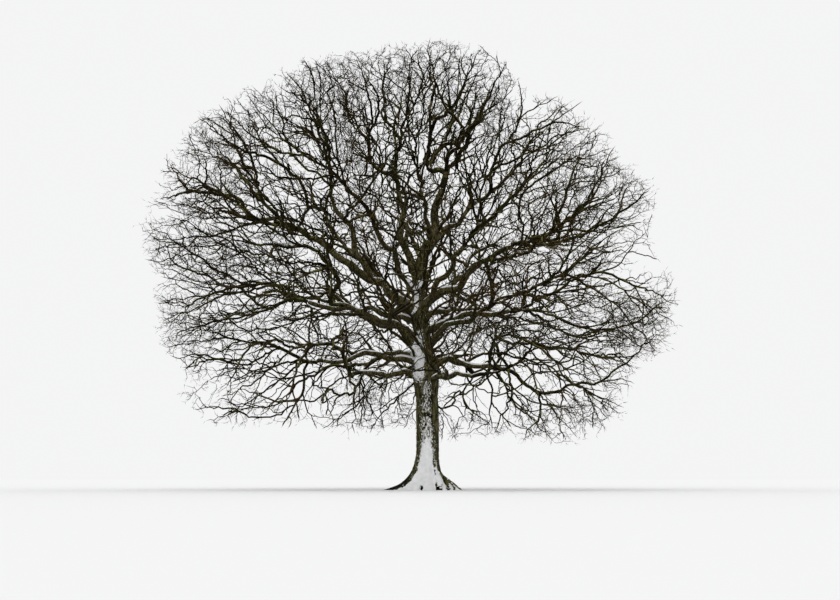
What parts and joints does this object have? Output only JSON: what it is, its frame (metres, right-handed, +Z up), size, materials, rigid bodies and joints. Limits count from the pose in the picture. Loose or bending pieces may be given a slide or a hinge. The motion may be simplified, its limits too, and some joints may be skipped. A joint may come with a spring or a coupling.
{
  "type": "bare oak tree",
  "caption": "Open-grown oak in winter: stout flared trunk forking into crooked boughs that carry a wide, round, leafless crown of twigs.",
  "frame": {"origin": "middle of the flat cut under the trunk, at ground level", "axes": "+Z up, +X to the right and +Y away from the viewer of the picture"},
  "size_m": [23.1472, 21.3592, 19.6322],
  "materials": {
    "trunk_bark": "rough ridged bark with green algae",
    "bough_bark": "rough bark",
    "twigs": "matt bark of bare twigs"
  },
  "bodies": {
    "root": {"trunk": "trunk_bark", "low_left_bough": "bough_bark", "low_back_left_bough": "bough_bark", "low_back_bough": "bough_bark", "low_back_right_bough": "bough_bark", "low_right_bough": "bough_bark", "low_front_right_bough": "bough_bark", "low_front_bough": "bough_bark", "low_front_left_bough": "bough_bark", "mid_left_bough": "bough_bark", "mid_back_left_bough": "bough_bark", "mid_back_bough": "bough_bark", "mid_back_right_bough": "bough_bark", "mid_right_bough": "bough_bark", "mid_front_right_bough": "bough_bark", "mid_front_bough": "bough_bark", "mid_front_left_bough": "bough_bark", "upper_left_bough": "bough_bark", "upper_back_left_bough": "bough_bark", "upper_back_bough": "bough_bark", "upper_right_bough": "bough_bark", "upper_back_right_bough": "bough_bark", "upper_front_right_bough": "bough_bark", "upper_front_left_bough": "bough_bark", "high_left_bough": "bough_bark", "high_right_bough": "bough_bark", "high_back_bough": "bough_bark", "high_front_bough": "bough_bark", "top_left_bough": "bough_bark", "top_right_bough": "bough_bark", "low_left_twigs": "twigs", "low_back_left_twigs": "twigs", "low_back_twigs": "twigs", "low_back_right_twigs": "twigs", "low_right_twigs": "twigs", "low_front_right_twigs": "twigs", "low_front_twigs": "twigs", "low_front_left_twigs": "twigs", "mid_left_twigs": "twigs", "mid_back_left_twigs": "twigs", "mid_back_twigs": "twigs", "mid_back_right_twigs": "twigs", "mid_right_twigs": "twigs", "mid_front_right_twigs": "twigs", "mid_front_twigs": "twigs", "mid_front_left_twigs": "twigs", "upper_left_twigs": "twigs", "upper_back_left_twigs": "twigs", "upper_back_twigs": "twigs", "upper_right_twigs": "twigs", "upper_back_right_twigs": "twigs", "upper_front_right_twigs": "twigs", "upper_front_left_twigs": "twigs", "high_left_twigs": "twigs", "high_right_twigs": "twigs", "high_back_twigs": "twigs", "high_front_twigs": "twigs", "top_left_twigs": "twigs", "top_right_twigs": "twigs"}
  },
  "joints": []
}
